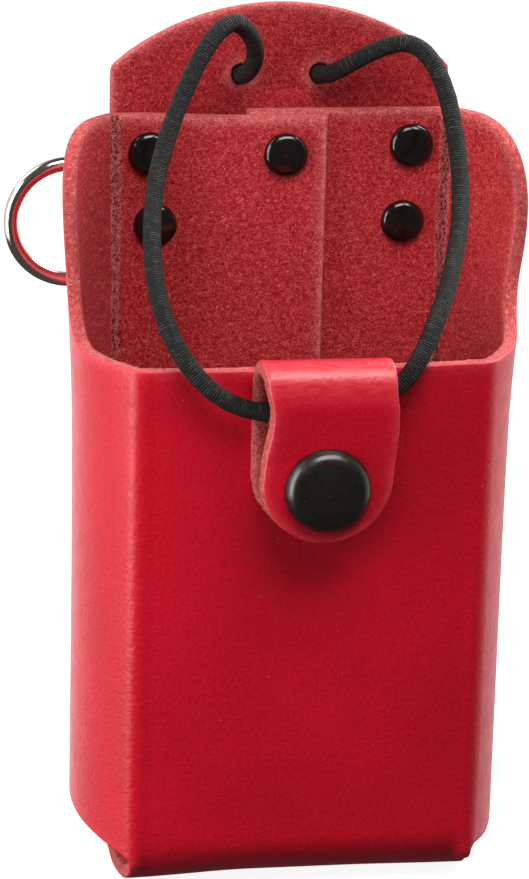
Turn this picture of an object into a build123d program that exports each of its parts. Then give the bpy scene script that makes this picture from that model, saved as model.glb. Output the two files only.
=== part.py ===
from build123d import *
import os

os.makedirs("parts", exist_ok=True)

# A folded leather carrying case for a handheld radio, open at the top.
# Millimetres. +X is right, +Y is back and +Z is up; the front faces -Y.
# The origin is under the middle of the case, level with its flat bottom.

# Driving sizes of the leather.
LEATHER = 2.4
AIR = 0.1  # left between layers that lie against each other
DEPTH = 49.0
FOLD_HALF = 31.0  # centre to a front fold, and to a rear crease
PANEL_HALF = 30.8  # half width of the bottom strip and rear panel
FRONT_RIM = 98.7
FLAP_TOP = 133.6
TONGUE_TOP = 152.9
TONGUE_CORNER = 141.5
TONGUE_CORNER_R = 3.0
FOLD_R = 4.0

# How far each side bows out, as (height, bow): even lower down, flared at the rim.
SIDE_BOW = ((0, 8.2), (30, 8.2), (60, 8.2), (86, 8.4), (105, 9.6), (119, 10.7), (134, 11.1))

# The rim drops from the flaps to the low front in an S.
RIM_FOOT_Y = 0.5
RIM_SHOULDER_Y = 4.0
RIM_FOOT_R = 13.0
RIM_SHOULDER_R = 16.0

# The lower edge of each side rises towards the back.
NOTCH_Z = 7.2
RISE_END_Y = 2.0
FLAP_BOTTOM = 10.4
RISE_R = 40.0

# The front runs under the case as the bottom strip.
TOE_DEPTH = 16.0
TOE_HEIGHT = 11.0
HEEL_R = 8.0

# The two back flaps overlap in the middle.
LEFT_FLAP_EDGE = 8.0
RIGHT_FLAP_EDGE = -6.3
JOG_START = -14.0
JOG_END = -7.0

# Depths of the leather's faces, from the front to the back.
FRONT_OUT = -DEPTH / 2
FRONT_IN = FRONT_OUT + LEATHER
PANEL_OUT = DEPTH / 2
PANEL_IN = PANEL_OUT - LEATHER
FLAP_OUT = PANEL_IN - AIR
FLAP_IN = FLAP_OUT - LEATHER
LAP_OUT = FLAP_IN - AIR
LAP_IN = LAP_OUT - LEATHER
FAR = 200.0  # past the whole case

# Double-cap rivets.
CAP_R = 4.0
CAP_H = 1.7
CAP_EDGE = 0.4  # height of a cap's straight rim
CROWN_SHARE = 0.73  # a cap's shallow crown reaches out to this share of its radius
CROWN_DROP = 0.22  # and falls by this share of its rise; a round shoulder does the rest
SHAFT_R = 1.5
SHAFT_FIT = 0.05
SHAFT_TIP = 0.8  # how far a shaft reaches into its cap
HEAD_H = 1.2

# Keeper strap, folded over the front rim and closed by a snap.
KEEPER_X = 1.2
KEEPER_HALF = 11.3
KEEPER_END = 69.5
KEEPER_GAP = 3.6
KEEPER_AXIS_Z = 96.8
SNAP_X = 0.9
SNAP_Z = 79.3
SNAP_CAP_R = 7.5
SNAP_CAP_H = 3.2
SNAP_CAP_EDGE = 0.6
SNAP_SHANK_R = 1.8
SOCKET_R = 5.8
SOCKET_H = 2.4
SOCKET_BORE_R = 3.1
SOCKET_ROOF = 0.6
SPRING_R = 2.87
SPRING_WIRE_R = 0.2
SPRING_ARC = 330.0
STUD_BASE_R = 5.6
STUD_BASE_H = 0.8
STUD_BULB_R = 2.6
STUD_ROUND = 0.5
STUD_NECK_R = 2.2
STUD_TIP = 2.9  # top of the bulb above the back leaf
STUD_SHOULDER = 1.6  # widest part of the bulb above the back leaf
POST_R = 1.5
POST_REACH = 2.0  # how far the post reaches into the stud
POST_HEAD_R = 5.0
POST_HEAD_H = 0.8

BACK_LEAF_OUT = FRONT_OUT - LEATHER
FRONT_LEAF_IN = BACK_LEAF_OUT - KEEPER_GAP
FRONT_LEAF_OUT = FRONT_LEAF_IN - LEATHER
KEEPER_AXIS_Y = BACK_LEAF_OUT - KEEPER_GAP / 2

# D-rings and their folded leather tabs.
WIRE_R = 1.35
WIRE_FIT = 0.08
RING_OPENING = 19.0
RING_BOW = 5.3  # bar to the centre of the round end
RING_CORNER_R = 1.6
RING_X = 32.0
RING_SAG = 1.4  # the ring hangs at the bottom of its play in the tab
TAB_Z = 113.0
TAB_WIDTH = 15.6
TAB_ROOT_X = 15.0
TAB_SLOPE_X = 27.4
LOWER_RIVET_X = 22.7
TAB_LOOP_R = WIRE_R + WIRE_FIT + LEATHER
RING_Y = PANEL_OUT + TAB_LOOP_R
TAB_OUT = PANEL_OUT + 2 * LEATHER
RIGHT_RING_TURN = 70.0  # the right ring rests swung back

# Elastic retaining cord, knotted behind the tongue.
CORD_R = 1.6
CORD_HOLE_R = 1.9
CORD_HOLE_X = 7.15
CORD_HOLE_Z = 140.0
KNOT_R = 3.5

# Rivets: name, x, z, inner face and outer face of the leather that it clamps.
RIVETS = (
    ("upper_left", -23.9, 126.2, FLAP_IN, PANEL_OUT),
    ("upper_right", 23.9, 127.2, FLAP_IN, PANEL_OUT),
    ("upper_centre", 0.4, 126.3, LAP_IN, PANEL_OUT),
    ("lower_left", -LOWER_RIVET_X, TAB_Z, FLAP_IN, TAB_OUT),
    ("lower_right", LOWER_RIVET_X, TAB_Z, FLAP_IN, TAB_OUT),
    ("base_left", -20.0, 23.0, FLAP_IN, PANEL_OUT),
    ("base_right", 20.0, 23.0, FLAP_IN, PANEL_OUT),
)


def facing(y):
    """Upright plane at depth y, seen from the front: X right, Z up, solids grow forwards."""
    return Plane(origin=(0, y, 0), x_dir=(1, 0, 0), z_dir=(0, -1, 0))


def save(name, part):
    """Label a finished piece and write it as its own file."""
    part.label = name
    export_step(part, f"parts/{name}.step")


# ---------------------------------------------------------------- case body


def bowed_half(inset, back_y):
    """Right half of the case's outside or inside, solid from front to back."""
    front_y = FRONT_OUT + inset
    half_chord = (FLAP_OUT - FRONT_OUT) / 2
    middle_y = (FLAP_OUT + FRONT_OUT) / 2
    with BuildPart() as half:
        for height, bow in SIDE_BOW:
            radius = (half_chord**2 + bow**2) / (2 * bow)
            with BuildSketch(Plane.XY.offset(height)):
                with Locations((FOLD_HALF + bow - radius, middle_y)):
                    Circle(radius - inset)
        loft()
        with Locations((0, (front_y + back_y) / 2, FLAP_TOP / 2)):
            Box(FAR, back_y - front_y, FLAP_TOP, mode=Mode.INTERSECT)
        split(bisect_by=Plane.YZ)
        fold = half.edges().group_by(Axis.Y)[0].sort_by(Axis.X)[-1]
        fillet(fold, FOLD_R - inset)
    return half.part


outside_half = bowed_half(0.0, FLAP_OUT)
inside_half = bowed_half(LEATHER, FLAP_IN)

with BuildPart() as case_body:
    # Front, sides and back flaps as one band of leather.
    add(outside_half)
    add(inside_half, mode=Mode.SUBTRACT)
    mirror(about=Plane.YZ)

    # The rim, cut as seen from the side.
    with BuildSketch(Plane.YZ) as rim:
        with BuildLine():
            Polyline(
                (-FAR, FRONT_RIM),
                (RIM_FOOT_Y, FRONT_RIM),
                (RIM_SHOULDER_Y, FLAP_TOP),
                (FAR, FLAP_TOP),
                (FAR, FAR),
                (-FAR, FAR),
                close=True,
            )
        make_face()
        fillet(rim.vertices().sort_by_distance((RIM_FOOT_Y, FRONT_RIM))[0], RIM_FOOT_R)
        fillet(rim.vertices().sort_by_distance((RIM_SHOULDER_Y, FLAP_TOP))[0], RIM_SHOULDER_R)
    extrude(amount=FAR, both=True, mode=Mode.SUBTRACT)

    # The lower edges of the sides and flaps.
    with BuildSketch(Plane.YZ) as hem:
        with BuildLine():
            Polyline(
                (-FAR, NOTCH_Z),
                (FRONT_OUT, NOTCH_Z),
                (RISE_END_Y, FLAP_BOTTOM),
                (FAR, FLAP_BOTTOM),
                (FAR, -FAR),
                (-FAR, -FAR),
                close=True,
            )
        make_face()
        fillet(hem.vertices().sort_by_distance((RISE_END_Y, FLAP_BOTTOM))[0], RISE_R)
    extrude(amount=FAR, both=True, mode=Mode.SUBTRACT)

    # Below the toe line the front belongs to the bottom strip.
    with BuildSketch(Plane.XY):
        with Locations((0, FRONT_OUT)):
            Rectangle(2 * PANEL_HALF, 3 * LEATHER)
    extrude(amount=TOE_HEIGHT, mode=Mode.SUBTRACT)

    # Clear the middle of the back, then lap the left flap over the right one.
    with BuildSketch(Plane.XY):
        with Locations(((JOG_START + RIGHT_FLAP_EDGE) / 2, (FLAP_IN + FLAP_OUT) / 2)):
            Rectangle(RIGHT_FLAP_EDGE - JOG_START, 2 * LEATHER)
    extrude(amount=FAR, mode=Mode.SUBTRACT)
    with BuildSketch(Plane.XY.offset(FLAP_BOTTOM)):
        with BuildLine():
            Polyline(
                (JOG_START, FLAP_OUT),
                (JOG_END, LAP_OUT),
                (LEFT_FLAP_EDGE, LAP_OUT),
                (LEFT_FLAP_EDGE, LAP_IN),
                (JOG_END, LAP_IN),
                (JOG_START, FLAP_IN),
                close=True,
            )
        make_face()
    extrude(amount=FLAP_TOP - FLAP_BOTTOM)

    # The bottom strip, rounded under the front and up into the rear panel.
    with BuildSketch(Plane.YZ):
        with BuildLine():
            Polyline(
                (FRONT_OUT, TOE_HEIGHT),
                (FRONT_OUT, FRONT_RIM),
                (FRONT_IN, FRONT_RIM),
                (FRONT_IN, TOE_HEIGHT),
            )
            toe_centre = (FRONT_OUT + TOE_DEPTH, TOE_HEIGHT)
            heel_centre = (PANEL_OUT - HEEL_R, HEEL_R)
            EllipticalCenterArc(toe_centre, TOE_DEPTH, TOE_HEIGHT, start_angle=180, arc_size=90)
            EllipticalCenterArc(
                toe_centre, TOE_DEPTH - LEATHER, TOE_HEIGHT - LEATHER, start_angle=180, arc_size=90
            )
            Line((toe_centre[0], 0), (heel_centre[0], 0))
            Line((toe_centre[0], LEATHER), (heel_centre[0], LEATHER))
            CenterArc(heel_centre, HEEL_R, 270, 90)
            CenterArc(heel_centre, HEEL_R - LEATHER, 270, 90)
            Line((PANEL_IN, HEEL_R), (PANEL_OUT, HEEL_R))
        make_face()
    extrude(amount=PANEL_HALF, both=True)

    # The rear panel with its arched tongue.
    with BuildSketch(facing(PANEL_IN)) as panel:
        with BuildLine():
            Polyline(
                (-PANEL_HALF, TONGUE_CORNER),
                (-PANEL_HALF, HEEL_R),
                (PANEL_HALF, HEEL_R),
                (PANEL_HALF, TONGUE_CORNER),
            )
            ThreePointArc(
                (PANEL_HALF, TONGUE_CORNER),
                (0, TONGUE_TOP),
                (-PANEL_HALF, TONGUE_CORNER),
            )
        make_face()
        fillet(panel.vertices().group_by(Axis.Y)[-1], TONGUE_CORNER_R)
    extrude(amount=-LEATHER)

    # Holes for the rivets, the cord and the snap's post.
    with BuildSketch(facing(PANEL_OUT)):
        with Locations(*((x, z) for _, x, z, _, _ in RIVETS)):
            Circle(SHAFT_R + SHAFT_FIT)
        with Locations((-CORD_HOLE_X, CORD_HOLE_Z), (CORD_HOLE_X, CORD_HOLE_Z)):
            Circle(CORD_HOLE_R)
    extrude(amount=PANEL_OUT - LAP_IN, mode=Mode.SUBTRACT)
    with BuildSketch(facing(FRONT_IN)):
        with Locations((SNAP_X, SNAP_Z)):
            Circle(POST_R + SHAFT_FIT)
    extrude(amount=LEATHER, mode=Mode.SUBTRACT)

save("case_body", case_body.part)


# ------------------------------------------------------------ keeper strap


def keeper_leaf(front_y, hole_r):
    """One flat leaf of the strap with a round lower end and a hole for the snap."""
    with BuildPart() as leaf:
        with BuildSketch(facing(front_y)):
            with Locations((KEEPER_X, KEEPER_END + KEEPER_HALF)):
                Circle(KEEPER_HALF)
            with Locations((KEEPER_X, (KEEPER_END + KEEPER_HALF + KEEPER_AXIS_Z) / 2)):
                Rectangle(2 * KEEPER_HALF, KEEPER_AXIS_Z - KEEPER_END - KEEPER_HALF)
            with Locations((SNAP_X, SNAP_Z)):
                Circle(hole_r, mode=Mode.SUBTRACT)
        extrude(amount=-LEATHER)
    return leaf.part


save("keeper_back_leaf", keeper_leaf(BACK_LEAF_OUT, POST_R + SHAFT_FIT))
save("keeper_front_leaf", keeper_leaf(FRONT_LEAF_OUT, SNAP_SHANK_R + SHAFT_FIT))

with BuildPart() as keeper_fold:
    with BuildSketch(Plane.YZ.offset(KEEPER_X - KEEPER_HALF)):
        with Locations((KEEPER_AXIS_Y, KEEPER_AXIS_Z)):
            Circle(KEEPER_GAP / 2 + LEATHER)
            Circle(KEEPER_GAP / 2, mode=Mode.SUBTRACT)
        with Locations((KEEPER_AXIS_Y, KEEPER_AXIS_Z - LEATHER * 2)):
            Rectangle(4 * LEATHER, 4 * LEATHER, mode=Mode.SUBTRACT)
    extrude(amount=2 * KEEPER_HALF)

save("keeper_fold", keeper_fold.part)


# ------------------------------------------------------------ snap fastener


def turning_plane(x, z):
    """Plane through a Y-wards axis: drawn points are (radius, depth)."""
    return Plane(origin=(x, 0, z), x_dir=(1, 0, 0), z_dir=(0, 0, 1))


def dome(apex_y, brim_r, brim_y):
    """Outline of a cap from its middle to its rim: a shallow crown, then a round shoulder."""
    shoulder = (CROWN_SHARE * brim_r, apex_y + CROWN_DROP * (brim_y - apex_y))
    crown = TangentArc((0, apex_y), shoulder, tangent=(1, 0))
    TangentArc(shoulder, (brim_r, brim_y), tangent=crown % 1)


SNAP_AXIS = Axis((SNAP_X, 0, SNAP_Z), (0, 1, 0))
SNAP_PLANE = turning_plane(SNAP_X, SNAP_Z)
SOCKET_ROOF_Y = FRONT_LEAF_IN + SOCKET_ROOF
SOCKET_MOUTH_Y = FRONT_LEAF_IN + SOCKET_H
STUD_BASE_Y = BACK_LEAF_OUT - STUD_BASE_H

# Domed cap, with a shank through the front leaf into the socket's roof.
with BuildPart() as snap_cap:
    cap_y = FRONT_LEAF_OUT - SNAP_CAP_H
    brim_y = FRONT_LEAF_OUT - SNAP_CAP_EDGE
    with BuildSketch(SNAP_PLANE):
        with BuildLine():
            Polyline(
                (0, cap_y),
                (0, SOCKET_ROOF_Y),
                (SNAP_SHANK_R, SOCKET_ROOF_Y),
                (SNAP_SHANK_R, FRONT_LEAF_OUT),
                (SNAP_CAP_R, FRONT_LEAF_OUT),
                (SNAP_CAP_R, brim_y),
            )
            dome(cap_y, SNAP_CAP_R, brim_y)
        make_face()
    revolve(axis=SNAP_AXIS)
save("snap_cap", snap_cap.part)

# Socket on the inner face of the front leaf, open towards the stud.
with BuildPart() as snap_socket:
    with BuildSketch(SNAP_PLANE):
        with BuildLine():
            Polyline(
                (SNAP_SHANK_R + SHAFT_FIT, FRONT_LEAF_IN),
                (SOCKET_R, FRONT_LEAF_IN),
                (SOCKET_R, SOCKET_MOUTH_Y),
                (SOCKET_BORE_R, SOCKET_MOUTH_Y),
                (SOCKET_BORE_R, SOCKET_ROOF_Y),
                (SNAP_SHANK_R + SHAFT_FIT, SOCKET_ROOF_Y),
                close=True,
            )
        make_face()
    revolve(axis=SNAP_AXIS)
save("snap_socket", snap_socket.part)

# Split wire ring inside the socket, which grips the stud.
with BuildPart() as snap_socket_spring:
    with BuildSketch(SNAP_PLANE):
        with Locations((SPRING_R, (SOCKET_ROOF_Y + SOCKET_MOUTH_Y) / 2)):
            Circle(SPRING_WIRE_R)
    revolve(axis=SNAP_AXIS, revolution_arc=SPRING_ARC)
save("snap_socket_spring", snap_socket_spring.part)

# Stud on the outer face of the back leaf: base disc, neck and bulb, bored for the post.
with BuildPart() as snap_stud:
    with BuildSketch(SNAP_PLANE):
        with BuildLine():
            Polyline(
                (POST_R + SHAFT_FIT, BACK_LEAF_OUT),
                (STUD_BASE_R, BACK_LEAF_OUT),
                (STUD_BASE_R, STUD_BASE_Y),
                (STUD_NECK_R, STUD_BASE_Y),
                (STUD_BULB_R, BACK_LEAF_OUT - STUD_SHOULDER),
                (STUD_BULB_R, BACK_LEAF_OUT - STUD_TIP + STUD_ROUND),
                (STUD_BULB_R - STUD_ROUND, BACK_LEAF_OUT - STUD_TIP),
                (0, BACK_LEAF_OUT - STUD_TIP),
                (0, BACK_LEAF_OUT - POST_REACH - SHAFT_FIT),
                (POST_R + SHAFT_FIT, BACK_LEAF_OUT - POST_REACH - SHAFT_FIT),
                close=True,
            )
        make_face()
    revolve(axis=SNAP_AXIS)
save("snap_stud", snap_stud.part)

# Post from inside the case, through the front and the back leaf into the stud.
with BuildPart() as snap_post:
    with BuildSketch(SNAP_PLANE):
        with BuildLine():
            Polyline(
                (0, BACK_LEAF_OUT - POST_REACH),
                (POST_R, BACK_LEAF_OUT - POST_REACH),
                (POST_R, FRONT_IN),
                (POST_HEAD_R, FRONT_IN),
                (POST_HEAD_R - POST_HEAD_H / 2, FRONT_IN + POST_HEAD_H),
                (0, FRONT_IN + POST_HEAD_H),
                close=True,
            )
        make_face()
    revolve(axis=SNAP_AXIS)
save("snap_post", snap_post.part)


# ------------------------------------------------------ D-rings and their tabs


def ring_tab(side):
    """Leather strip folded round a ring's bar; side is -1 for left and 1 for right."""
    with BuildPart() as tab:
        with BuildSketch(Plane.XY.offset(TAB_Z - TAB_WIDTH / 2)):
            with BuildLine():
                Polyline(
                    (side * RING_X, RING_Y + TAB_LOOP_R),
                    (side * TAB_SLOPE_X, TAB_OUT),
                    (side * TAB_ROOT_X, TAB_OUT),
                    (side * TAB_ROOT_X, PANEL_OUT),
                    (side * RING_X, PANEL_OUT),
                )
                ThreePointArc(
                    (side * RING_X, PANEL_OUT),
                    (side * (RING_X + TAB_LOOP_R), RING_Y),
                    (side * RING_X, RING_Y + TAB_LOOP_R),
                )
            make_face()
            with Locations((side * RING_X, RING_Y)):
                Circle(WIRE_R + WIRE_FIT, mode=Mode.SUBTRACT)
        extrude(amount=TAB_WIDTH)
        with BuildSketch(facing(TAB_OUT)):
            with Locations((side * LOWER_RIVET_X, TAB_Z)):
                Circle(SHAFT_R + SHAFT_FIT)
        extrude(amount=2 * LEATHER, mode=Mode.SUBTRACT)
    return tab.part


def d_ring(bar_x, heading):
    """D-ring on an upright bar, its round end pointing along heading in degrees from +X."""
    ring_plane = Plane(
        origin=(bar_x, RING_Y, TAB_Z - RING_SAG),
        x_dir=Vector(1, 0, 0).rotate(Axis.Z, heading),
        z_dir=Vector(0, -1, 0).rotate(Axis.Z, heading),
    )
    half = RING_OPENING / 2 + WIRE_R
    with BuildPart() as ring:
        with BuildLine(ring_plane) as wire:
            Line((0, 0), (0, half - RING_CORNER_R))
            RadiusArc((0, half - RING_CORNER_R), (RING_CORNER_R, half), RING_CORNER_R)
            Line((RING_CORNER_R, half), (RING_BOW, half))
            ThreePointArc((RING_BOW, half), (RING_BOW + half, 0), (RING_BOW, -half))
            Line((RING_BOW, -half), (RING_CORNER_R, -half))
            RadiusArc((RING_CORNER_R, -half), (0, RING_CORNER_R - half), RING_CORNER_R)
            Line((0, RING_CORNER_R - half), (0, 0))
        with BuildSketch(Plane.XY.offset(TAB_Z - RING_SAG)):
            with Locations((bar_x, RING_Y)):
                Circle(WIRE_R)
        sweep(path=wire.wires()[0])
    return ring.part


save("ring_tab_left", ring_tab(-1))
save("ring_tab_right", ring_tab(1))
save("ring_left", d_ring(-RING_X, 180))
save("ring_right", d_ring(RING_X, RIGHT_RING_TURN))


# ------------------------------------------------------------------- rivets


def rivet_cap(x, z, face_y):
    """Domed inner cap, bored to take the tip of its post."""
    bore_r = SHAFT_R + SHAFT_FIT
    brim_y = face_y - CAP_EDGE
    with BuildPart() as cap:
        with BuildSketch(turning_plane(x, z)):
            with BuildLine():
                Polyline(
                    (0, face_y - CAP_H),
                    (0, face_y - SHAFT_TIP),
                    (bore_r, face_y - SHAFT_TIP),
                    (bore_r, face_y),
                    (CAP_R, face_y),
                    (CAP_R, brim_y),
                )
                dome(face_y - CAP_H, CAP_R, brim_y)
            make_face()
        revolve(axis=Axis((x, 0, z), (0, 1, 0)))
    return cap.part


def rivet_post(x, z, inner_y, outer_y):
    """Outer head and the shaft that runs through the leather into the inner cap."""
    brim_y = outer_y + CAP_EDGE
    tip_y = inner_y - SHAFT_TIP + SHAFT_FIT
    with BuildPart() as post:
        with BuildSketch(turning_plane(x, z)):
            with BuildLine():
                Polyline(
                    (0, outer_y + HEAD_H),
                    (0, tip_y),
                    (SHAFT_R, tip_y),
                    (SHAFT_R, outer_y),
                    (CAP_R, outer_y),
                    (CAP_R, brim_y),
                )
                dome(outer_y + HEAD_H, CAP_R, brim_y)
            make_face()
        revolve(axis=Axis((x, 0, z), (0, 1, 0)))
    return post.part


for place, x, z, inner_y, outer_y in RIVETS:
    save(f"rivet_cap_{place}", rivet_cap(x, z, inner_y))
    save(f"rivet_post_{place}", rivet_post(x, z, inner_y, outer_y))


# ------------------------------------------------------------- elastic cord

# The loop leaves the tongue's left hole forwards, rises over a crest, falls round the
# left of the opening, passes through the keeper and comes back up on the right.
with BuildPart() as elastic_cord:
    with BuildLine() as loop:
        Spline(
            (-CORD_HOLE_X, PANEL_OUT, CORD_HOLE_Z),
            (-CORD_HOLE_X, PANEL_IN, CORD_HOLE_Z),
            (-6, 14.5, 145.5),
            (-9.5, 11, 151.4),
            (-21, 3, 139),
            (-27.3, -11, 120),
            (-25.5, -23.5, 105),
            (-18, -28.5, 95.5),
            (-11, KEEPER_AXIS_Y, 92.4),
            (-4, KEEPER_AXIS_Y, 92.2),
            (5, KEEPER_AXIS_Y, 93.4),
            (13, KEEPER_AXIS_Y, 96),
            (19, -25, 103),
            (26.5, -11, 117),
            (28.4, 2, 132),
            (20.5, 13, 147.4),
            (CORD_HOLE_X, PANEL_IN, CORD_HOLE_Z),
            (CORD_HOLE_X, PANEL_OUT, CORD_HOLE_Z),
        )
    with BuildSketch(Plane(origin=loop.line @ 0, z_dir=loop.line % 0)):
        Circle(CORD_R)
    sweep(path=loop.wires()[0])
save("elastic_cord", elastic_cord.part)

for place, side in (("left", -1), ("right", 1)):
    with BuildPart() as cord_knot:
        with Locations((side * CORD_HOLE_X, PANEL_OUT + AIR + KNOT_R, CORD_HOLE_Z)):
            Sphere(KNOT_R)
    save(f"cord_knot_{place}", cord_knot.part)
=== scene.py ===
"""Looks of a folded red leather radio case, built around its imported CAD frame."""

import math

import bpy
import numpy as np
from mathutils import Matrix, Vector, kdtree, noise
from mathutils.geometry import delaunay_2d_cdt


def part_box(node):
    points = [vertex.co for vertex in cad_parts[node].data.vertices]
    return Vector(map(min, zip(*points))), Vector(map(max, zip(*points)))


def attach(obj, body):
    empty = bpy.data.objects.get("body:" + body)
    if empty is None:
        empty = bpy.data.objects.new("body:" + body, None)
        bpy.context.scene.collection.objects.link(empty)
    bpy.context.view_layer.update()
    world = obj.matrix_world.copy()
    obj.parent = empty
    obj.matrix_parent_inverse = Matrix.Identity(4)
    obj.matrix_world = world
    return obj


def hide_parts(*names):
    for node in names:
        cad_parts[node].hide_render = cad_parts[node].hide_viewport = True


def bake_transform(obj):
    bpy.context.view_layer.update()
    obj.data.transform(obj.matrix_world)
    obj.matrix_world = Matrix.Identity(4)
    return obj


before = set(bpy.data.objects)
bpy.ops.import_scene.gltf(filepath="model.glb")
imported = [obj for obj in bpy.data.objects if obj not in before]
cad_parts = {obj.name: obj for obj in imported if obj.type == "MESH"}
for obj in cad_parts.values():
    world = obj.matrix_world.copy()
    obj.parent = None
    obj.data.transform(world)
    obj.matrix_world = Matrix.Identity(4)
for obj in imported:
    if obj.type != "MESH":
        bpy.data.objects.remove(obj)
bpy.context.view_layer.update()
MM = 0.001  # sizes below are in millimetres, as in the CAD

# Sizes shared with the CAD.
LEATHER = 2.4
FOLD_HALF = 31.0
STRIP_HALF = 30.8
FRONT_Y = -24.5
BACK_Y = 24.5
FLAP_Y = 22.0  # outer face of the back flaps
LAP_SHIFT = 2.5  # how far the lapped flap steps forwards
FRONT_RIM = 98.7
FLAP_TOP = 133.6
TONGUE_TOP = 152.9
TONGUE_CORNER = 141.5
SIDE_BOW = ((0, 8.2), (30, 8.2), (60, 8.2), (86, 8.4), (105, 9.6), (119, 10.7), (134, 11.1))
NOTCH_Z = 7.2
TOE_DEPTH, TOE_HEIGHT, HEEL_R = 16.0, 11.0, 8.0
LEFT_FLAP_EDGE, RIGHT_FLAP_EDGE = 8.0, -6.3
RIVET_R = 1.55
LOWER_RIVET_X, LOWER_RIVET_Z = 22.7, 113.0  # these two also hold the ring tabs
RIVETS = (
    (-23.9, 126.2),
    (23.9, 127.2),
    (0.4, 126.3),
    (-LOWER_RIVET_X, LOWER_RIVET_Z),
    (LOWER_RIVET_X, LOWER_RIVET_Z),
    (-20.0, 23.0),
    (20.0, 23.0),
)
SNAP = (0.9, 79.3)
SNAP_HOLE_R = 1.85
CORD_HOLE_X, CORD_HOLE_Z, CORD_HOLE_R = 7.15, 140.0, 1.9
CORD_R, CORD_KNOT_R = 1.6, 1.42

# Places along the flat leather, used by the looks.
KEEPER_FOLD_AT = 31.5  # middle of the keeper strap's bend, by distance along the strap
KEEPER_FOLD_HALF = 6.0  # how far the paler colour at the bend, partly stretched dye and partly a painted highlight, reaches to each side of it
TONGUE_SHADE = (-128.0, -150.0)  # flat heights between which the painted shade on the tongue sets in


# ---- node helpers


def new_material(name):
    """A node material and its tree, with only an output in it."""
    mat = bpy.data.materials.new(name)
    mat.use_nodes = True
    tree = mat.node_tree
    tree.nodes.clear()
    return mat, tree


def node(tree, kind, inputs=None, **props):
    """Adds a node; inputs are numbers, colours or sockets to link."""
    n = tree.nodes.new(kind)
    for key, value in props.items():
        setattr(n, key, value)
    for key, value in (inputs or {}).items():
        if isinstance(value, bpy.types.NodeSocket):
            tree.links.new(value, n.inputs[key])
        else:
            n.inputs[key].default_value = value
    return n


def flat_coords(tree, scale=1.0):
    """The leather's own flat coordinates in millimetres, times scale."""
    at = node(tree, "ShaderNodeAttribute", attribute_name="flat")
    sc = scale if isinstance(scale, tuple) else (scale,) * 3
    inputs = {0: at.outputs["Vector"], 1: sc}
    return node(tree, "ShaderNodeVectorMath", inputs, operation="MULTIPLY").outputs[0]


def noise_tex(tree, coords, scale, detail=2.0, rough=0.5, distortion=0.0):
    return node(
        tree,
        "ShaderNodeTexNoise",
        {"Vector": coords, "Scale": scale, "Detail": detail, "Roughness": rough, "Distortion": distortion},
    ).outputs["Fac"]


def remap(tree, value, low, high, to_low=0.0, to_high=1.0):
    return node(
        tree,
        "ShaderNodeMapRange",
        {"Value": value, "From Min": low, "From Max": high, "To Min": to_low, "To Max": to_high},
    ).outputs["Result"]


def math_node(tree, operation, a, b=0.0, c=0.0):
    return node(tree, "ShaderNodeMath", {0: a, 1: b, 2: c}, operation=operation).outputs[0]


def mix_colour(tree, factor, a, b, blend="MIX"):
    n = node(tree, "ShaderNodeMix", data_type="RGBA", blend_type=blend)
    for socket, value in ((n.inputs[0], factor), (n.inputs[6], a), (n.inputs[7], b)):
        if isinstance(value, bpy.types.NodeSocket):
            tree.links.new(value, socket)
        else:
            socket.default_value = value if isinstance(value, float) else (*value, 1.0)
    return n.outputs[2]


def attribute(tree, name):
    return node(tree, "ShaderNodeAttribute", attribute_name=name).outputs["Fac"]


def specks(tree, coords, colour, scale, size, share, tint):
    """Scattered round specks of another colour."""
    dots = node(tree, "ShaderNodeTexVoronoi", {"Vector": coords, "Scale": scale, "Randomness": 1.0})
    speck = math_node(tree, "LESS_THAN", dots.outputs["Distance"], size)
    return mix_colour(tree, math_node(tree, "MULTIPLY", speck, share), colour, tint)


def bump(tree, height, strength, distance, normal=None):
    inputs = {"Height": height, "Strength": strength, "Distance": distance}
    if normal is not None:
        inputs["Normal"] = normal
    return node(tree, "ShaderNodeBump", inputs).outputs["Normal"]


def finish_material(tree, colour, roughness, normal, **inputs):
    """Joins a colour, a roughness, a normal and any other inputs, by their names, to the output."""
    named = {key.replace("_", " "): value for key, value in inputs.items()}
    inputs = {"Base Color": colour, "Roughness": roughness, "Normal": normal, **named}
    bsdf = node(tree, "ShaderNodeBsdfPrincipled", inputs)
    out = node(tree, "ShaderNodeOutputMaterial")
    tree.links.new(bsdf.outputs[0], out.inputs[0])


# ---- materials


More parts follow.
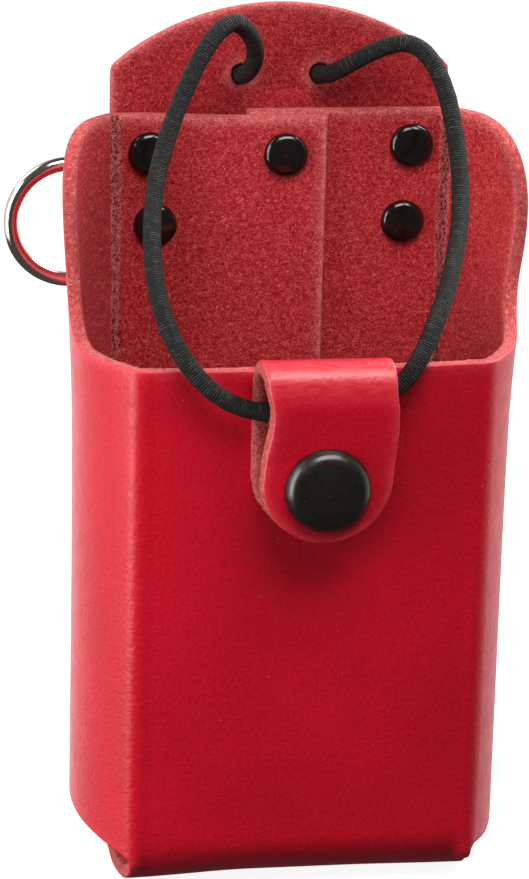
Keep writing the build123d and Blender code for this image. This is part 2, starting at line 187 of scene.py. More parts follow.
def grain_leather(name, rough=(0.34, 0.44), specular=0.45, stretch_and_highlight=None):
    """Smooth dyed grain: soft mottling, fine pores, satin sheen, paler near cut edges.

    Its last argument is the (place, half width) along the strap of a fold painted paler, partly as dye paled by
    stretching and partly as a painted highlight.
    """
    mat, t = new_material(name)
    co = flat_coords(t)
    broad = noise_tex(t, co, 0.045, 3.0, 0.55)
    cloud = noise_tex(t, co, 0.35, 4.0, 0.6)
    fine = noise_tex(t, co, 1.6, 3.0, 0.7)
    colour = mix_colour(t, remap(t, broad, 0.35, 0.65), (0.50, 0.0008, 0.0125), (0.60, 0.0015, 0.0170))
    colour = mix_colour(t, remap(t, cloud, 0.4, 0.75, 0.0, 0.5), colour, (0.45, 0.0010, 0.0115))
    colour = mix_colour(t, remap(t, fine, 0.42, 0.66, 0.0, 0.55), colour, (0.68, 0.005, 0.024))
    colour = mix_colour(t, remap(t, fine, 0.48, 0.32, 0.0, 0.5), colour, (0.40, 0.0006, 0.010))
    # Paler across the keeper's bend: partly dye paled by stretching, partly a painted highlight.
    if stretch_and_highlight:
        height = node(t, "ShaderNodeSeparateXYZ", {0: co}).outputs["Y"]
        away = math_node(t, "ABSOLUTE", math_node(t, "SUBTRACT", height, stretch_and_highlight[0]))
        creases = noise_tex(t, flat_coords(t, (0.35, 1.5, 1.0)), 1.0, 4.0, 0.65, 0.8)
        broken = remap(t, creases, 0.36, 0.64, 0.25, 1.0)
        pale = math_node(t, "MULTIPLY", remap(t, away, stretch_and_highlight[1], 0.0), broken)
        colour = mix_colour(t, pale, colour, (0.66, 0.055, 0.07))
    wear = attribute(t, "wear")
    worn = math_node(t, "MULTIPLY", wear, remap(t, cloud, 0.3, 0.7, 0.25, 0.8))
    colour = mix_colour(t, worn, colour, (0.72, 0.045, 0.06))
    colour = specks(t, co, colour, 0.22, 0.032, 0.6, (0.75, 0.18, 0.18))
    pores = node(
        t, "ShaderNodeTexVoronoi", {"Vector": co, "Scale": 1.5, "Randomness": 0.9}, feature="SMOOTH_F1"
    )
    normal = bump(t, noise_tex(t, co, 0.5, 3.0, 0.5), 0.16, 0.0004)
    normal = bump(t, pores.outputs["Distance"], 0.30, 0.00014, normal)
    normal = bump(t, fine, 0.40, 0.00018, normal)
    roughness = remap(t, cloud, 0.3, 0.7, *rough)
    finish_material(t, colour, roughness, normal, Specular_IOR_Level=specular)
    return mat


def flesh_leather(name):
    """Suede inner side: short curled fibres, uneven dye, light specks, a soft sheen, and painted shade on the
    tongue and in the crease gouges.
    """
    mat, t = new_material(name)
    co = flat_coords(t)
    broad = noise_tex(t, co, 0.04, 3.0, 0.5)
    cloud = noise_tex(t, co, 0.5, 4.0, 0.65)
    fibre = noise_tex(t, flat_coords(t, (1.9, 1.6, 1.8)), 1.0, 3.0, 0.8, 1.4)
    hair = noise_tex(t, flat_coords(t, (0.9, 3.1, 1.5)), 1.0, 2.0, 0.7, 2.2)
    colour = mix_colour(t, remap(t, broad, 0.35, 0.65), (0.36, 0.008, 0.014), (0.46, 0.013, 0.020))
    colour = mix_colour(t, remap(t, cloud, 0.35, 0.7, 0.0, 0.5), colour, (0.52, 0.022, 0.028))
    colour = mix_colour(t, remap(t, fibre, 0.50, 0.36, 0.0, 0.85), colour, (0.17, 0.002, 0.006))
    colour = mix_colour(t, remap(t, fibre, 0.52, 0.64, 0.0, 0.85), colour, (0.76, 0.115, 0.115))
    colour = mix_colour(t, remap(t, hair, 0.57, 0.68, 0.0, 0.75), colour, (0.80, 0.190, 0.185))
    wear = attribute(t, "wear")
    worn = math_node(t, "MULTIPLY", wear, remap(t, fibre, 0.38, 0.6, 0.1, 1.0))
    colour = mix_colour(t, worn, colour, (0.78, 0.20, 0.19))
    gouge = attribute(t, "gouge")
    fuzzy = math_node(t, "MULTIPLY", remap(t, gouge, 0.0, 0.2), remap(t, fibre, 0.44, 0.56))
    colour = mix_colour(t, math_node(t, "MULTIPLY", fuzzy, 0.9), colour, (0.84, 0.27, 0.25))
    # Painted shade: a dark line down the middle of each rear crease's gouge.
    groove_shade = math_node(t, "MULTIPLY", remap(t, gouge, 0.25, 0.6), remap(t, fibre, 0.54, 0.42))
    colour = mix_colour(t, groove_shade, colour, (0.045, 0.002, 0.005))
    # Painted shade: the tongue is darkened against the flaps.
    height = node(t, "ShaderNodeSeparateXYZ", {0: co}).outputs["Y"]
    tongue_shade = remap(t, height, TONGUE_SHADE[0], TONGUE_SHADE[1])
    colour = mix_colour(t, tongue_shade, colour, (0.78, 0.62, 0.66), "MULTIPLY")
    colour = specks(t, co, colour, 0.6, 0.075, 0.5, (0.80, 0.30, 0.28))
    normal = bump(t, cloud, 0.25, 0.0003)
    normal = bump(t, fibre, 0.8, 0.00030, normal)
    sheen = {"Sheen_Weight": 0.12, "Sheen_Roughness": 0.45, "Sheen_Tint": (1.0, 0.35, 0.35, 1.0)}
    finish_material(t, colour, 0.95, normal, Specular_IOR_Level=0.15, **sheen)
    return mat


def cut_leather(name):
    """Raw cut edge: pale salmon fibres."""
    mat, t = new_material(name)
    co = flat_coords(t)
    fibre = noise_tex(t, co, 1.7, 4.0, 0.8, 1.0)
    cloud = noise_tex(t, co, 0.6, 3.0, 0.6)
    colour = mix_colour(t, remap(t, cloud, 0.35, 0.7), (0.44, 0.050, 0.048), (0.54, 0.082, 0.078))
    colour = mix_colour(t, remap(t, fibre, 0.49, 0.34, 0.0, 0.85), colour, (0.34, 0.025, 0.032))
    colour = mix_colour(t, remap(t, fibre, 0.52, 0.66, 0.0, 0.75), colour, (0.82, 0.32, 0.29))
    normal = bump(t, fibre, 0.9, 0.0003)
    sheen = {"Sheen_Weight": 0.15, "Sheen_Roughness": 0.5, "Sheen_Tint": (1.0, 0.7, 0.68, 1.0)}
    finish_material(t, colour, 0.95, normal, Specular_IOR_Level=0.15, **sheen)
    return mat


def lacquer(name, roughness, base):
    """Black lacquer on pressed metal: faint orange peel, dust and fine wear."""
    mat, t = new_material(name)
    co = node(t, "ShaderNodeTexCoord").outputs["Object"]
    cloud = noise_tex(t, co, 500.0, 3.0, 0.6)
    fine = noise_tex(t, co, 4000.0, 2.0, 0.5)
    colour = mix_colour(t, remap(t, cloud, 0.35, 0.7), base, tuple(1.6 * c for c in base))
    colour = specks(t, co, colour, 900.0, 0.07, 0.35, (0.30, 0.20, 0.18))
    uneven = remap(t, cloud, 0.3, 0.7, roughness - 0.05, roughness + 0.07)
    normal = bump(t, fine, 0.06, 0.00004)
    coat = {"Coat_Weight": 0.25, "Coat_Roughness": roughness * 0.6}
    finish_material(t, colour, uneven, normal, Specular_IOR_Level=0.5, **coat)
    return mat


def metal(name, colour, roughness):
    """Plated metal with hairline scratches."""
    mat, t = new_material(name)
    co = node(t, "ShaderNodeTexCoord").outputs["Object"]
    drawn = node(t, "ShaderNodeVectorMath", {0: co, 1: (1.0, 1.0, 0.12)}, operation="MULTIPLY").outputs[0]
    hair = noise_tex(t, drawn, 6000.0, 2.0, 0.6)
    cloud = noise_tex(t, co, 260.0, 3.0, 0.6)
    shade = mix_colour(t, remap(t, cloud, 0.3, 0.7), tuple(0.86 * c for c in colour), colour)
    uneven = remap(t, hair, 0.3, 0.7, roughness * 0.7, roughness * 1.4)
    finish_material(t, shade, uneven, bump(t, hair, 0.04, 0.00003), Metallic=1.0)
    return mat


RIB_PITCH = 0.46  # one rib of the cord's sleeve, in millimetres


def braided_cord(name):
    """Elastic cord in a fine braided sleeve: ribs run round it, offset strand by strand."""
    mat, t = new_material(name)
    at = node(t, "ShaderNodeAttribute", attribute_name="flat")
    parts = node(t, "ShaderNodeSeparateXYZ", {0: at.outputs["Vector"]})
    along, around = parts.outputs["X"], parts.outputs["Y"]
    wave = math_node(t, "SINE", math_node(t, "MULTIPLY", around, 16 * math.pi))
    shifted = math_node(t, "ADD", along, math_node(t, "MULTIPLY", wave, 0.07))
    ribs = math_node(t, "SINE", math_node(t, "MULTIPLY", shifted, 2 * math.pi / RIB_PITCH))
    patch = noise_tex(t, at.outputs["Vector"], 2.6, 3.0, 0.75)
    strands = math_node(t, "SINE", math_node(t, "MULTIPLY", around, 36 * math.pi))
    height = math_node(t, "ADD", math_node(t, "MULTIPLY", ribs, 0.5), math_node(t, "MULTIPLY", strands, 0.25))
    colour = mix_colour(t, remap(t, ribs, -0.6, 1.0), (0.002, 0.0024, 0.002), (0.011, 0.013, 0.011))
    light = math_node(t, "MULTIPLY", remap(t, ribs, 0.1, 0.9), remap(t, patch, 0.50, 0.62))
    colour = mix_colour(t, math_node(t, "MULTIPLY", light, 0.8), colour, (0.11, 0.113, 0.098))
    # Painted shade: the cord darkens towards its silhouettes.
    silhouette_shade = node(t, "ShaderNodeLayerWeight", {"Blend": 0.5}).outputs["Facing"]
    colour = mix_colour(t, remap(t, silhouette_shade, 0.25, 0.9, 0.0, 0.75), colour, (0.003, 0.0035, 0.003))
    finish_material(t, colour, 0.6, bump(t, height, 0.9, 0.00018), Specular_IOR_Level=0.25)
    return mat


GRAIN = grain_leather("grain_leather")
STRAP_GRAIN = grain_leather(
    "strap_grain_leather",
    rough=(0.28, 0.38),
    specular=0.5,
    stretch_and_highlight=(KEEPER_FOLD_AT, KEEPER_FOLD_HALF),
)
FLESH = flesh_leather("flesh_leather")
EDGE = cut_leather("cut_edge_leather")
RIVET_BLACK = lacquer("rivet_black", 0.17, (0.0055, 0.0038, 0.0036))
SNAP_BLACK = lacquer("snap_black", 0.30, (0.0075, 0.0062, 0.0048))
NICKEL_RING = metal("ring_nickel", (0.70, 0.62, 0.54), 0.13)
NICKEL = metal("snap_nickel", (0.70, 0.67, 0.62), 0.28)
SPRING = metal("spring_steel", (0.62, 0.62, 0.63), 0.24)
CORD = braided_cord("cord_braid")


# ---- mesh helpers


def smoothstep(low, high, value):
    x = np.clip((value - low) / (high - low), 0.0, 1.0)
    return x * x * (3.0 - 2.0 * x)


def run_along(points):
    """Distance along a polyline at each of its points."""
    return np.concatenate([[0.0], np.cumsum(np.linalg.norm(np.diff(points, axis=0), axis=1))])


def averaged(values, reach):
    """Moving average over reach places to each side."""
    window = np.ones(2 * reach + 1) / (2 * reach + 1)
    return np.convolve(np.pad(values, reach, "edge"), window, "valid")


def make_object(name, verts, faces, materials, face_materials=None, attributes=None):
    """A smooth mesh object from millimetre coordinates, with point attributes."""
    mesh = bpy.data.meshes.new(name)
    mesh.from_pydata((np.asarray(verts) * MM).tolist(), [], faces)
    for mat in materials:
        mesh.materials.append(mat)
    mesh.polygons.foreach_set("use_smooth", [True] * len(mesh.polygons))
    if face_materials is not None:
        mesh.polygons.foreach_set("material_index", face_materials)
    for key, values in (attributes or {}).items():
        values = np.asarray(values, np.float32)
        if values.ndim == 1:
            mesh.attributes.new(key, "FLOAT", "POINT").data.foreach_set("value", values)
        else:
            mesh.attributes.new(key, "FLOAT_VECTOR", "POINT").data.foreach_set("vector", values.ravel())
    mesh.update()
    obj = bpy.data.objects.new(name, mesh)
    bpy.context.scene.collection.objects.link(obj)
    return obj


def inside(points, loop):
    """Even-odd test of many points against one closed loop."""
    x, y = points[:, 0:1], points[:, 1:2]
    a, b = loop, np.roll(loop, -1, axis=0)
    crosses = (a[:, 1] > y) != (b[:, 1] > y)
    slope = (b[:, 0] - a[:, 0]) / np.where(b[:, 1] == a[:, 1], 1e-9, b[:, 1] - a[:, 1])
    hits = crosses & (x < a[:, 0] + (y - a[:, 1]) * slope)
    return hits.sum(1) % 2 == 1


def even_spacing(points, step):
    """The closed polyline resampled at about one step between points."""
    closed = np.vstack([points, points[:1]])
    run = run_along(closed)
    count = max(8, int(round(run[-1] / step)))
    at = np.linspace(0.0, run[-1], count, endpoint=False)
    return np.column_stack([np.interp(at, run, closed[:, k]) for k in range(2)])


def outward(loop):
    """Unit normals to the right of a loop that keeps the leather on its left."""
    along = np.roll(loop, -1, axis=0) - np.roll(loop, 1, axis=0)
    along /= np.linalg.norm(along, axis=1)[:, None]
    return np.column_stack([along[:, 1], -along[:, 0]])


def circle_loop(centre, radius, count=28):
    """A hole: clockwise, so that the leather is on its left."""
    angle = -np.linspace(0.0, 2 * math.pi, count, endpoint=False)
    return np.column_stack([centre[0] + radius * np.cos(angle), centre[1] + radius * np.sin(angle)])


# Section of a cut edge: (how far past the inset outline, depth below the grain).
INSET = 0.45
EDGE_SECTION = (
    (0.28, 0.05),
    (0.42, 0.22),
    (0.45, 0.55),
    (0.46, 1.0),
    (0.45, 1.45),
    (0.44, 1.9),
    (0.34, 2.22),
    (0.16, 2.38),
)


def jitter(points, scale, seed):
    """Smooth repeatable noise in -1..1 for each point."""
    offset = Vector((seed * 17.3, seed * 5.1, seed * 9.7))
    return np.array([noise.noise(Vector(p) * scale + offset) for p in points.tolist()])


def leather_sheet(name, outer, holes, grid, fold, seed, fuzz=0.12, step=0.42, lean=0.0, grain=None):
    """Closed leather mesh from a flat outline.

    outer and holes are loops of flat (s, t) points; fold maps flat points and a depth to space.
    fuzz is the roughness of the nap and edges, and lean how far a left cut edge splays.
    The grain, the flesh and the cut edge get their own materials.
    """
    loops = [even_spacing(outer, step)] + [np.asarray(h) for h in holes]
    normals = [outward(loop) for loop in loops]
    insets = [loop - INSET * n for loop, n in zip(loops, normals)]
    rim = np.vstack(insets)
    tree = kdtree.KDTree(len(rim))
    for i, p in enumerate(rim.tolist()):
        tree.insert((p[0], p[1], 0.0), i)
    tree.balance()
    keep = inside(grid, insets[0])
    for hole in insets[1:]:
        keep &= ~inside(grid, hole)
    grid = grid[keep]
    gap = np.array([tree.find((p[0], p[1], 0.0))[2] for p in grid.tolist()])
    grid = grid[gap > 0.30]
    flat = np.vstack([rim, grid])
    edges, start = [], 0
    for loop in insets:
        count = len(loop)
        edges += [(start + i, start + (i + 1) % count) for i in range(count)]
        start += count
    verts, _, tris, origin = delaunay_2d_cdt([Vector(p) for p in flat.tolist()], edges, [], 1, 1e-6)[:4]
    place = np.array([tuple(v) for v in verts])
    index = {o: i for i, group in enumerate(origin) for o in group}
    tris = np.array([t for t in tris if len(t) == 3])
    middle = place[tris].mean(1)
    good = inside(middle, insets[0])
    for hole in insets[1:]:
        good &= ~inside(middle, hole)
    tris = tris[good]
    a, b, c = (place[tris[:, k]] for k in range(3))
    turn = (b[:, 0] - a[:, 0]) * (c[:, 1] - a[:, 1]) - (b[:, 1] - a[:, 1]) * (c[:, 0] - a[:, 0])
    tris[turn < 0] = tris[turn < 0][:, ::-1]
    tris = tris[np.abs(turn) > 1e-9]

    count = len(place)
    near = np.array([tree.find((p[0], p[1], 0.0))[2] for p in place.tolist()])
    top = np.column_stack([place, np.zeros(count)])
    bottom = np.column_stack([place, np.full(count, LEATHER)])
    nap = jitter(bottom, 1.9, seed) * 0.6 + jitter(bottom, 0.55, seed + 1) * 0.4
    ragged = jitter(bottom, 2.9, seed + 6) * np.minimum(1.0, 2.0 * gouge_of(bottom))
    bottom[:, 2] += (fuzz * 0.7 * nap + 0.45 * ragged) * smoothstep(0.0, 1.2, near)
    flat_points, wear = [top, bottom], [near, near]
    faces = [tuple(f) for f in tris.tolist()]
    kinds = [0] * len(faces)
    faces += [tuple(int(i) + count for i in f[::-1]) for f in tris.tolist()]
    kinds += [1] * len(tris)
    base, start = 2 * count, 0
    for loop, inset, normal in zip(loops, insets, normals):
        size = len(loop)
        ids = np.array([index[start + i] for i in range(size)])
        rings = [ids]
        for step_no, (out, depth) in enumerate(EDGE_SECTION):
            splay = lean * np.maximum(0.0, -normal[:, :1]) * depth / LEATHER
            ring = np.column_stack([inset + normal * (out + splay), np.full(size, depth)])
            rough = fuzz * (0.3 + 1.3 * depth / LEATHER) * min(1.0, step_no / 2.0)
            shake = jitter(ring, 1.1, seed + 2) * 0.5 + jitter(ring, 3.4, seed + 3) * 0.9
            ring[:, :2] += normal * (shake * rough)[:, None]
            ring[:, 2] += rough * 0.6 * jitter(ring, 2.2, seed + 4) * (depth / LEATHER)
            flat_points.append(ring)
            wear.append(np.zeros(size))
            rings.append(np.arange(base, base + size))
            base += size
        rings.append(ids + count)
        for level, (upper, lower) in enumerate(zip(rings, rings[1:])):
            for i in range(size):
                j = (i + 1) % size
                faces.append((int(upper[j]), int(upper[i]), int(lower[i]), int(lower[j])))
            kind = 0 if level < 2 else (1 if level >= len(EDGE_SECTION) else 2)
            kinds += [kind] * size
        start += size
    flat_points = np.vstack(flat_points)
    wear = np.exp(-np.concatenate(wear) / 0.7)
    points = fold(flat_points[:, :2], flat_points[:, 2])
    attributes = {"flat": flat_points, "wear": wear, "gouge": gouge_of(flat_points)}
    return make_object(name, points, faces, [grain or GRAIN, FLESH, EDGE], kinds, attributes)


# ---- case body

bow_z = np.arange(-10.0, 150.0, 0.5)
bow_table = np.interp(bow_z, [z for z, _ in SIDE_BOW], [b for _, b in SIDE_BOW])
window = np.exp(-0.5 * (np.arange(-24, 25) * 0.5 / 5.0) ** 2)
bow_table = np.convolve(np.pad(bow_table, 24, "edge"), window / window.sum(), "valid")
# The right side is pressed in low down and flares at the rim: change of its bow by height.
RIGHT_BOW_CHANGE = ((0, -0.9), (98, -0.9), (104, -0.4), (110, 0.6), (117, 1.0), (124, 0.7), (134, 0.0))
LEFT_BOW_CHANGE = 0.25
right_table = np.interp(bow_z, [z for z, _ in RIGHT_BOW_CHANGE], [b for _, b in RIGHT_BOW_CHANGE])
right_table = averaged(right_table, 6)
SIDE_START = 26.0
HALF_CHORD = (FLAP_Y - FRONT_Y) / 2
MIDDLE_Y = (FLAP_Y + FRONT_Y) / 2
NEUTRAL = LEATHER / 2
CREASE_ROUND = 1.3


def side_section(z, side):
    """Sizes of the side's plan curve at height z: fold, bow and their lengths."""
    left_change = LEFT_BOW_CHANGE * (1 - smoothstep(80.0, 110.0, z))
    bow = np.interp(z, bow_z, bow_table) + np.where(side > 0, np.interp(z, bow_z, right_table), left_change)
    fold_r = 2.9 + 1.1 * smoothstep(6.0, 20.0, z)
    radius = (HALF_CHORD**2 + bow**2) / (2 * bow)
    centre_x = FOLD_HALF + bow - radius
    fold_y = FRONT_Y + fold_r
    fold_x = centre_x + np.sqrt((radius - fold_r) ** 2 - (fold_y - MIDDLE_Y) ** 2)
    start = np.arctan2(fold_y - MIDDLE_Y, fold_x - centre_x)
    end = np.arctan2(HALF_CHORD, FOLD_HALF - centre_x)
    return fold_r, radius, centre_x, fold_x, fold_y, start, end


def side_lengths(z, side):
    fold_r, radius, _, fold_x, _, start, end = side_section(z, side)
    return fold_x - SIDE_START, (fold_r - NEUTRAL) * (start + math.pi / 2), (radius - NEUTRAL) * (end - start)


SIDE_LENGTH = float(sum(side_lengths(np.array(40.0), np.array(-1.0))))
CREASE_S = SIDE_START + SIDE_LENGTH


def plan_raw(a, z, side):
    """Outer plan point at flat distance a from the centre, before the rear crease is rounded."""
    fold_r, radius, centre_x, fold_x, fold_y, start, end = side_section(z, side)
    flat, fold_len, bow_len = side_lengths(z, side)
    run = (a - SIDE_START) * (flat + fold_len + bow_len) / SIDE_LENGTH
    turn = -math.pi / 2 + np.clip((run - flat) / np.maximum(fold_len, 1e-6), 0.0, 1.0) * (start + math.pi / 2)
    arc = start + np.clip((run - flat - fold_len) / bow_len, 0.0, 1.0) * (end - start)
    x = np.where(run < flat, SIDE_START + run, fold_x + fold_r * np.cos(turn))
    y = np.where(run < flat, FRONT_Y, fold_y + fold_r * np.sin(turn))
    on_bow = run >= flat + fold_len
    x = np.where(on_bow, centre_x + radius * np.cos(arc), x)
    y = np.where(on_bow, MIDDLE_Y + radius * np.sin(arc), y)
    on_flap = a >= CREASE_S
    x = np.where(on_flap, FOLD_HALF - (a - CREASE_S), x)
    y = np.where(on_flap, FLAP_Y, y)
    flat_front = a <= SIDE_START
    return np.where(flat_front, a, x), np.where(flat_front, FRONT_Y, y)


def crown(a):
    """How far the front falls back towards its soft folds, at flat distance a from the centre."""
    return 0.95 * np.clip((a - 13.0) / 15.0, 0.0, 1.0) ** 2 * (1 - smoothstep(28.0, 52.0, a))


def plan(s, z):
    """Outer plan point of the band at signed flat distance s and height z."""
    side = np.where(s < 0, -1.0, 1.0)
    a = np.abs(s)
    x, y = plan_raw(a, z, side)
    near = np.abs(a - CREASE_S) < CREASE_ROUND
    share = np.clip((a - CREASE_S + CREASE_ROUND) / (2 * CREASE_ROUND), 0.0, 1.0)
    x0, y0 = plan_raw(np.full_like(a, CREASE_S - CREASE_ROUND), z, side)
    x2, y2 = FOLD_HALF - CREASE_ROUND, FLAP_Y
    bx = (1 - share) ** 2 * x0 + 2 * share * (1 - share) * FOLD_HALF + share**2 * x2
    by = (1 - share) ** 2 * y0 + 2 * share * (1 - share) * FLAP_Y + share**2 * y2
    x, y = np.where(near, bx, x) * side, np.where(near, by, y)
    y = y + crown(a)
    lapped = (side < 0) & (a > CREASE_S)
    y = y - np.where(lapped, LAP_SHIFT * smoothstep(-27.0, -6.6, x), 0.0)
    return x, y


def strip_path():
    """Outer line of the bottom strip from the toe line round to the tongue: run, y, z."""
    turn = np.linspace(0.0, math.pi / 2, 120)
    toe = np.column_stack([FRONT_Y + TOE_DEPTH * (1 - np.cos(turn)), TOE_HEIGHT * (1 - np.sin(turn))])
    heel = np.column_stack([BACK_Y - HEEL_R + HEEL_R * np.sin(turn), HEEL_R * (1 - np.cos(turn))])
    line = np.vstack([toe, heel, [[BACK_Y, TONGUE_TOP + 20.0]]])
    run = run_along(line)
    return run, line[:, 0], line[:, 1]


STRIP_RUN, STRIP_Y, STRIP_Z = strip_path()
STRIP_NY, STRIP_NZ = np.gradient(STRIP_Z, STRIP_RUN), -np.gradient(STRIP_Y, STRIP_RUN)
# How far the toe stands out: at the middle, and what each end adds to that.
TOE_FULLER_MIDDLE, TOE_FULLER_LEFT, TOE_FULLER_RIGHT = -0.25, 0.90, 0.30
TOE_FULLER_RUN = 20.0
LOWER_PRESS = 0.55  # the front's lower part gives way slightly above the toe
STRIP_FLARE = 1.6  # the bottom strip's left edge runs out a little
NOTCH_T = TOE_HEIGHT - float(np.interp(-NOTCH_Z, -STRIP_Z[:120], STRIP_RUN[:120]))
HEEL_RUN = float(STRIP_RUN[-2])


def tongue_t(z):
    """Flat t of a point at height z on the rear panel."""
    return TOE_HEIGHT - HEEL_RUN - (z - HEEL_R)


def case_surface(flat):
    """Grain side of the case at flat points (s, t)."""
    s, t = flat[:, 0], flat[:, 1]
    bx, by = plan(s, t)
    run = TOE_HEIGHT - t
    end_fuller = np.where(s < 0, TOE_FULLER_LEFT, TOE_FULLER_RIGHT)
    fuller = TOE_FULLER_MIDDLE + end_fuller * smoothstep(8.0, 31.0, np.abs(s))
    fuller = fuller * np.sin(math.pi * np.clip(run / TOE_FULLER_RUN, 0.0, 1.0)) ** 2
    sy = np.interp(run, STRIP_RUN, STRIP_Y) + fuller * np.interp(run, STRIP_RUN, STRIP_NY)
    sz = np.interp(run, STRIP_RUN, STRIP_Z) + fuller * np.interp(run, STRIP_RUN, STRIP_NZ)
    sy = sy + crown(np.abs(s)) * (1 - smoothstep(0.0, 14.0, run))
    pressed = LOWER_PRESS * (1 - smoothstep(9.0, 27.0, t)) * (1 - smoothstep(0.0, 12.0, run))
    pressed = pressed * (1 - smoothstep(14.0, 29.0, np.abs(s)))
    by, sy = by + pressed, sy + pressed
    flare = STRIP_FLARE * smoothstep(4.0, 24.0, run) * (1 - smoothstep(36.0, 56.0, run))
    flare = flare * smoothstep(14.0, 31.0, -s)
    in_strip = np.abs(s) <= STRIP_HALF + 0.8
    near_fold = 1 - smoothstep(27.5, 31.0, np.abs(s))
    freed = 1 - smoothstep(NOTCH_T - 5.0, NOTCH_T, t)
    weight = np.where(t < TOE_HEIGHT, near_fold + (1 - near_fold) * freed, 0.0) * in_strip
    x = bx + (s - flare - bx) * weight
    y = by + (sy - by) * weight
    z = t + (sz - t) * weight
    return np.column_stack([x, y, z])


def normals_of(surface, flat, eps=0.05):
    """Outward unit normals of a folded surface, by differences."""
    ds = surface(flat + [eps, 0.0]) - surface(flat - [eps, 0.0])
    dt = surface(flat + [0.0, eps]) - surface(flat - [0.0, eps])
    n = np.cross(ds, dt)
    return n / np.maximum(np.linalg.norm(n, axis=1), 1e-12)[:, None]


GOUGE_HALF = 2.2  # half width of the V cut in each rear crease
GOUGE_DEEP = 1.3


def gouge_of(flat):
    """How deep in the rear crease's gouge each flat point lies, 0 to 1."""
    wander = 0.09 * np.sin(flat[:, 1] * 0.21) + 0.06 * np.sin(flat[:, 1] * 1.7 + 1.0)
    away = np.abs(np.abs(flat[:, 0]) - CREASE_S + wander)
    return np.clip(1 - away / GOUGE_HALF, 0.0, 1.0) * (flat[:, 1] > NOTCH_Z)


def case_fold(flat, depth):
    point = case_surface(flat)
    normal = normals_of(case_surface, flat)
    deep = gouge_of(flat)
    thin = 1 - (GOUGE_DEEP * np.minimum(1.0, deep * 1.5)) / LEATHER
    return point - normal * (depth * thin)[:, None]


def rim_curve():
    """The rim seen from the side, (y, z) from the front rim up to the flap tops."""
    foot_y, foot_r, shoulder_y, shoulder_r = 0.5, 13.0, 4.0, 16.0
    lean = math.atan2(FLAP_TOP - FRONT_RIM, shoulder_y - foot_y)
    along = np.array([math.cos(lean), math.sin(lean)])
    left = np.array([-along[1], along[0]])
    foot, top = np.array([foot_y, FRONT_RIM]), np.array([shoulder_y, FLAP_TOP])
    reach1, reach2 = foot_r * math.tan(lean / 2), shoulder_r * math.tan(lean / 2)
    c1 = foot + along * reach1 + left * foot_r
    c2 = top - along * reach2 - left * shoulder_r
    turn = np.linspace(0.0, lean, 40)
    arc1 = np.column_stack([c1[0] + foot_r * np.sin(turn), c1[1] - foot_r * np.cos(turn)])
    turn = np.linspace(lean, 0.0, 40)
    arc2 = np.column_stack([c2[0] - shoulder_r * np.sin(turn), c2[1] + shoulder_r * np.cos(turn)])
    front = np.column_stack([np.linspace(FRONT_Y + 0.5, arc1[0, 0], 30)[:-1], np.full(29, FRONT_RIM)])
    back = np.column_stack([np.linspace(arc2[-1, 0], FLAP_Y, 30)[1:], np.full(29, FLAP_TOP)])
    return np.vstack([front, arc1, arc2, back])


# Lower edges of the two sides, as (y, z) from the front to the back.
LEFT_HEM = ((-24.5, 7.2), (-19, 8.3), (-14, 9.3), (-8, 9.9), (-3.6, 10.4), (2, 10.5), (22, 10.4))
RIGHT_HEM = (
    (-24.5, 7.6),
    (-21, 7.3),
    (-17, 6.8),
    (-13, 6.9),
    (-9, 7.7),
    (-4, 9.1),
    (2, 10.1),
    (8, 10.4),
    (22, 10.4),
)


def hem_curve(side):
    """The lower edge of a side, (y, z) from the flap forwards to the notch."""
    hem = RIGHT_HEM if side > 0 else LEFT_HEM
    y = np.linspace(FRONT_Y - 2.0, FLAP_Y, 120)
    z = np.interp(y, [p[0] for p in hem], [p[1] for p in hem])
    z = averaged(z, 5)
    keep = y > FRONT_Y + 3.2
    return np.column_stack([y[keep], z[keep]])[::-1]


def flat_of(curve, side):
    """Flat (s, t) points of side-view points (y, z) on the band."""
    s = np.linspace(SIDE_START, CREASE_S, 500)
    out = []
    for y, z in curve:
        _, ys = plan(side * s, np.full_like(s, z))
        out.append((side * float(np.interp(y, ys, s)), z))
    return np.array(out)


def rounded(corner_a, corner, corner_b, radius, count=8):
    """Arc that rounds a polyline's corner."""
    a, p, b = (np.array(q, float) for q in (corner_a, corner, corner_b))
    u, v = (a - p) / np.linalg.norm(a - p), (b - p) / np.linalg.norm(b - p)
    half = math.acos(float(np.clip(u @ v, -1, 1))) / 2
    reach = radius / math.tan(half)
    share = np.linspace(0.0, 1.0, count)[:, None]
    p0, p2 = p + u * reach, p + v * reach
    return (1 - share) ** 2 * p0 + 2 * share * (1 - share) * p + share**2 * p2


RIM_UNEVEN = ((-0.30, 0.35), (0.30, 0.0))  # left and right: flap top's lift, front rim's dip


